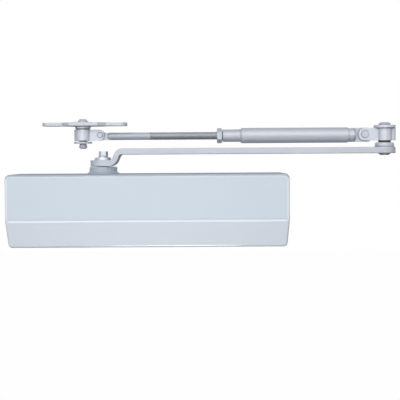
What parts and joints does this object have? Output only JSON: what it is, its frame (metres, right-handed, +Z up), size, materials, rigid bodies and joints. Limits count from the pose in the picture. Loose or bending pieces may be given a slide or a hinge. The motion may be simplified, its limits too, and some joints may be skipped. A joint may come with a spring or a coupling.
{
  "type": "overhead door closer",
  "caption": "Surface door closer: a long faceted cover over a rack-and-pinion body, with a cranked main arm, an adjustable forearm and a frame shoe folded above it.",
  "frame": {"origin": "middle of the four-hole mounting pattern, on the door plane", "axes": "+X along the cover towards the elbow of the arm, +Y into the door, +Z up along the spindle"},
  "size_m": [0.384, 0.054, 0.1261],
  "materials": {
    "cover_silver": "smooth satin pale silver paint on a moulded cover",
    "arm_silver_paint": "satin silver paint on pressed steel",
    "zinc_plated_steel": "bright zinc plate",
    "collar_grey": "satin blue-grey moulding",
    "cast_aluminium": "die-cast, sprayed silver",
    "dark_steel": "oiled steel, plain on the rod and phosphated on the thread",
    "bearing_bronze": "sintered bronze or turned brass",
    "seal_rubber": "black nitrile rubber",
    "black_plastic": "black acetal"
  },
  "bodies": {
    "closer_body": {"housing": "cast_aluminium", "left_end_cap": "cast_aluminium", "right_end_cap": "cast_aluminium", "end_cap_seals": "seal_rubber", "upper_bearing": "bearing_bronze", "lower_bearing": "bearing_bronze", "upper_shaft_seal": "seal_rubber", "lower_shaft_seal": "seal_rubber", "upper_gland": "cast_aluminium", "lower_gland": "cast_aluminium", "valve_seals": "seal_rubber", "spindle_collar": "collar_grey", "return_spring": "dark_steel"},
    "cover_shell": {"cover": "cover_silver"},
    "closing_valve": {"closing_speed_valve": "bearing_bronze"},
    "latching_valve": {"latching_speed_valve": "bearing_bronze"},
    "spindle": {"pinion_shaft": "dark_steel", "main_arm": "arm_silver_paint", "arm_washer": "zinc_plated_steel", "arm_bolt": "zinc_plated_steel", "elbow_pin": "arm_silver_paint", "elbow_lower_washer": "arm_silver_paint", "elbow_thrust_washer": "zinc_plated_steel", "elbow_top_washer": "arm_silver_paint"},
    "piston_set": {"piston": "dark_steel", "check_ball": "dark_steel", "check_ball_seat": "bearing_bronze"},
    "elbow_knuckle": {"elbow_strap": "arm_silver_paint", "elbow_bush": "black_plastic", "elbow_rivet": "arm_silver_paint"},
    "tube": {"tube_plug": "arm_silver_paint", "forearm_tube": "arm_silver_paint"},
    "nut": {"lock_nut": "zinc_plated_steel"},
    "rod": {"forearm_rod": "dark_steel"},
    "shoe_knuckle": {"shoe_strap": "arm_silver_paint", "shoe_bush": "black_plastic", "shoe_rivet": "arm_silver_paint"},
    "shoe": {"shoe_plate": "arm_silver_paint", "shoe_pin": "zinc_plated_steel", "shoe_washer": "zinc_plated_steel", "shoe_wear_washer": "black_plastic", "shoe_retaining_ring": "zinc_plated_steel"}
  },
  "joints": [
    {"name": "spindle_swing", "type": "hinge", "parent": "closer_body", "child": "spindle", "pos_m": [-0.04499, -0.025, 0], "axis": [0, 0, 1], "range_deg": [-180, 0], "stiffness_Nm_per_rad": 6, "springref_deg": 114.59},
    {"name": "piston_slide", "type": "slide", "parent": "closer_body", "child": "piston_set", "axis": [1, 0, 0], "range_m": [0, 0.0284], "deforming": ["return_spring"]},
    {"name": "elbow_swing", "type": "hinge", "parent": "spindle", "child": "elbow_knuckle", "pos_m": [0.23501, -0.025, 0.07365], "axis": [0, 0, 1], "range_deg": [-165, 165]},
    {"name": "elbow_tilt", "type": "hinge", "parent": "elbow_knuckle", "child": "tube", "pos_m": [0.21501, -0.025, 0.07365], "axis": [0, 1, 0], "range_deg": [0, 25]},
    {"name": "length_adjust", "type": "slide", "parent": "tube", "child": "rod", "axis": [1, 0, 0], "range_m": [-0.03, 0.008]},
    {"name": "lock_nut_turn", "type": "hinge", "parent": "tube", "child": "nut", "pos_m": [0.071, -0.025, 0.07305], "axis": [1, 0, 0], "continuous": true},
    {"name": "shoe_tilt", "type": "hinge", "parent": "rod", "child": "shoe_knuckle", "pos_m": [-0.04759, -0.025, 0.07425], "axis": [0, 1, 0], "range_deg": [-8, 8]},
    {"name": "shoe_swing", "type": "hinge", "parent": "shoe_knuckle", "child": "shoe", "pos_m": [-0.06499, -0.025, 0.07425], "axis": [0, 0, 1], "continuous": true},
    {"name": "cover_pull", "type": "slide", "parent": "closer_body", "child": "cover_shell", "axis": [0, -1, 0], "range_m": [0, 0.07]},
    {"name": "closing_valve_turn", "type": "hinge", "parent": "closer_body", "child": "closing_valve", "pos_m": [-0.112, -0.0409, 0.0159], "axis": [1, 0, 0], "range_deg": [-360, 360]},
    {"name": "latching_valve_turn", "type": "hinge", "parent": "closer_body", "child": "latching_valve", "pos_m": [-0.112, -0.0409, -0.0159], "axis": [1, 0, 0], "range_deg": [-360, 360]}
  ],
  "couplings": [
    {"joint": "piston_slide", "follows": "spindle_swing", "m_per_rad": -0.009}
  ]
}
